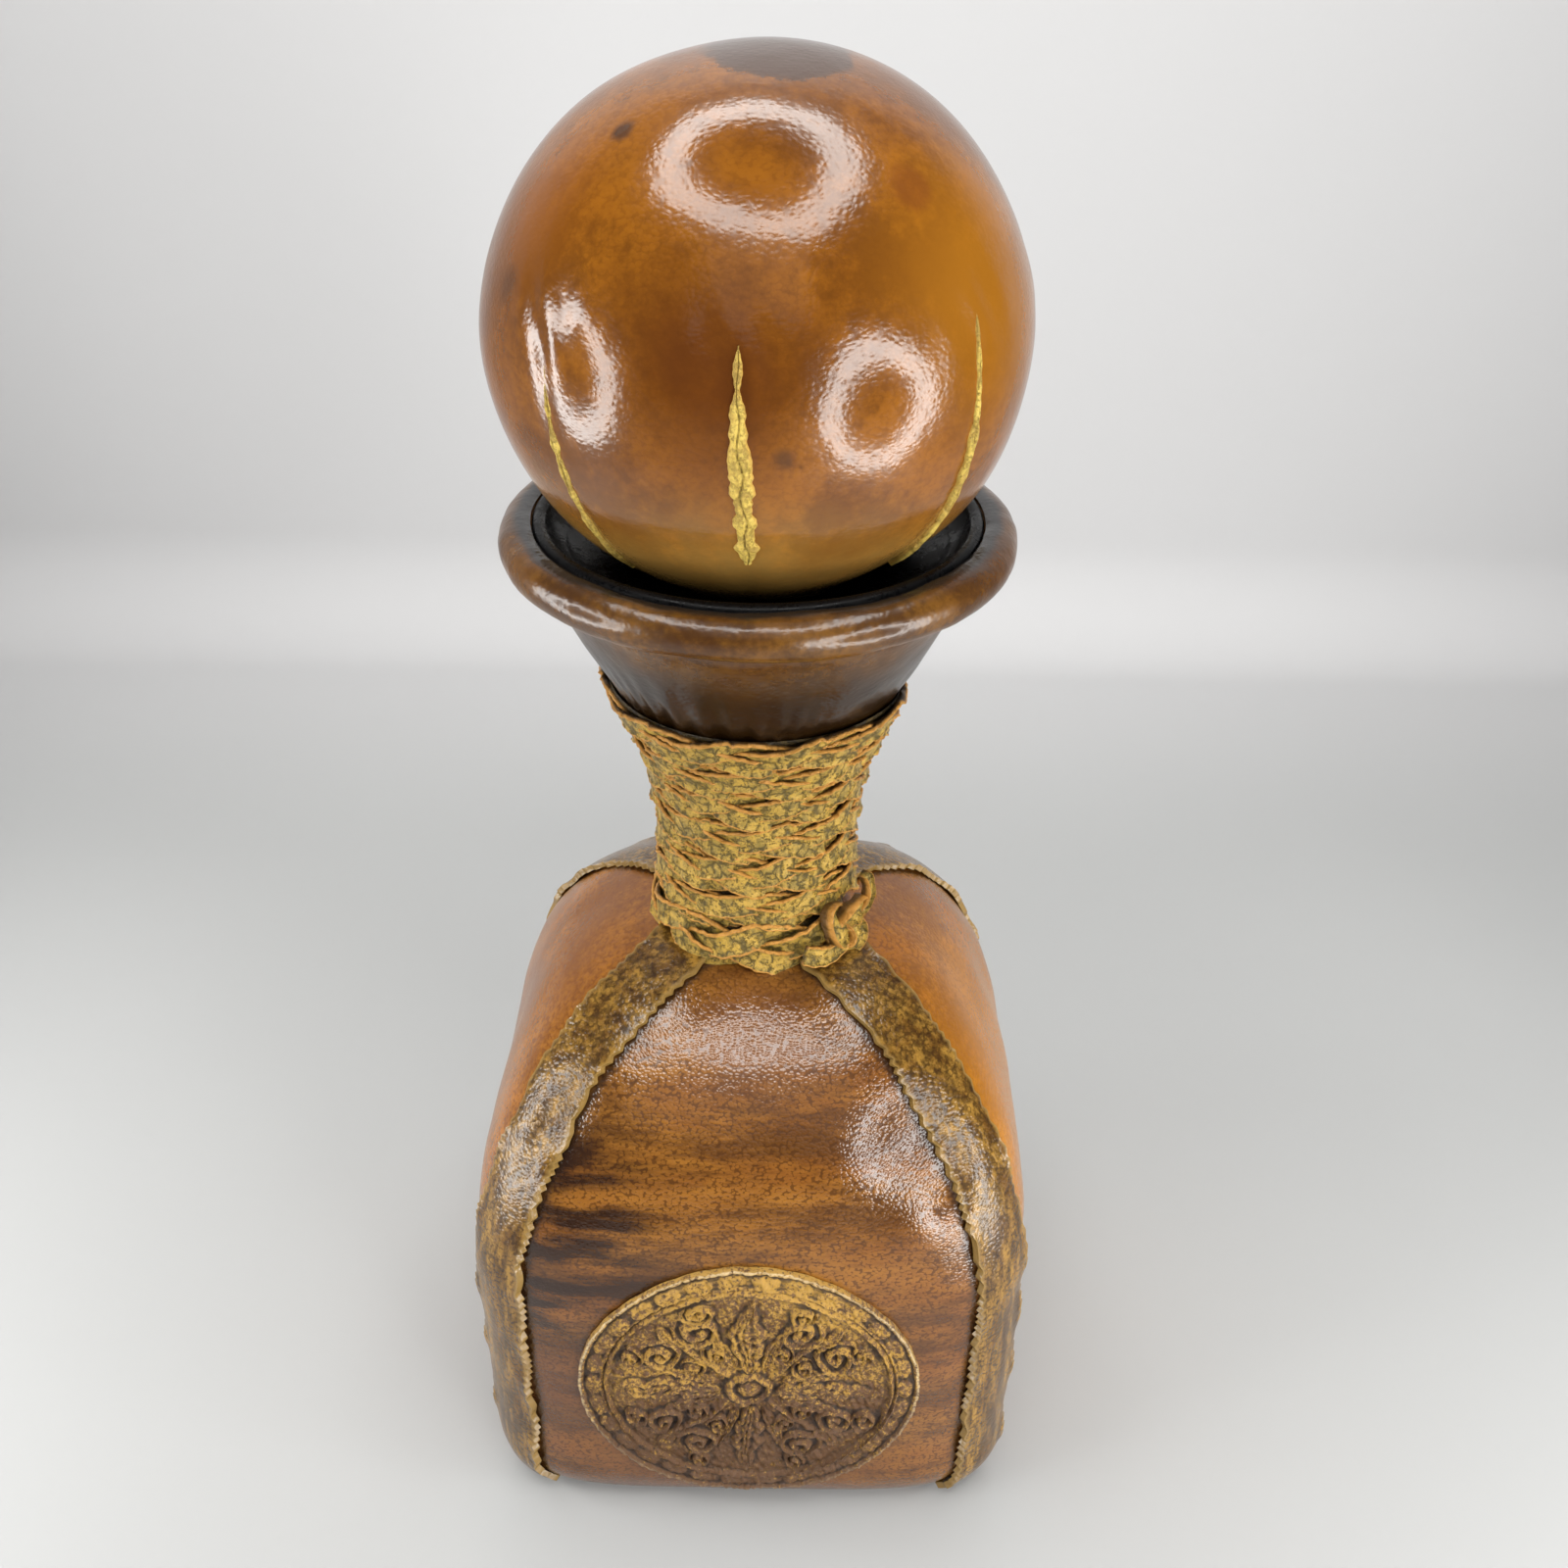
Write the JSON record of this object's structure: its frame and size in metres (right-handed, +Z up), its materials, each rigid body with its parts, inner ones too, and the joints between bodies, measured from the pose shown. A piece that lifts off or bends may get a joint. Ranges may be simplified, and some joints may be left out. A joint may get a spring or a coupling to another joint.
{
  "type": "leather-covered decanter",
  "caption": "Square-shouldered glass decanter covered in leather panels and corner strips, with a lace-wound neck, a flared mouth and a large leather ball stopper.",
  "frame": {"origin": "middle of the flat base, on the surface that the decanter stands on", "axes": "+Z up along the neck, -Y towards the face with the medallion, +X to the right of that face"},
  "size_m": [0.102, 0.1039, 0.2545],
  "materials": {
    "glass": "clear",
    "front_leather": "polished, pebbled grain",
    "side_leather": "polished",
    "strip_leather": "polished, worn",
    "medallion_leather": "embossed, gilded",
    "mouth_leather": "polished, smooth",
    "base_leather": "matt",
    "ball_leather": "high polish",
    "lace_leather": "matt, raw edges",
    "black_plastic": "gloss",
    "cone_wood": "turned",
    "stopper_wood": "turned",
    "cork": "matt"
  },
  "bodies": {
    "bottle": {"glass_bottle": "glass", "base_pad": "base_leather", "front_panel": "front_leather", "right_panel": "side_leather", "back_panel": "side_leather", "left_panel": "side_leather", "strip_front_right": "strip_leather", "strip_back_right": "strip_leather", "strip_back_left": "strip_leather", "strip_front_left": "strip_leather", "medallion": "medallion_leather", "neck_leather": "mouth_leather", "mouth_cone": "cone_wood", "mouth_liner": "black_plastic", "neck_lace": "lace_leather", "lace_knot": "lace_leather"},
    "cork": {"cork": "cork"},
    "ball": {"stopper_peg": "stopper_wood", "stopper_core": "stopper_wood", "stopper_leather": "ball_leather"}
  },
  "joints": [
    {"name": "stopper_lift", "type": "slide", "parent": "bottle", "child": "cork", "axis": [0, 0, 1], "range_m": [0, 0.12]},
    {"name": "stopper_turn", "type": "hinge", "parent": "cork", "child": "ball", "pos_m": [0, 0, 0.2], "axis": [0, 0, 1], "continuous": true}
  ]
}
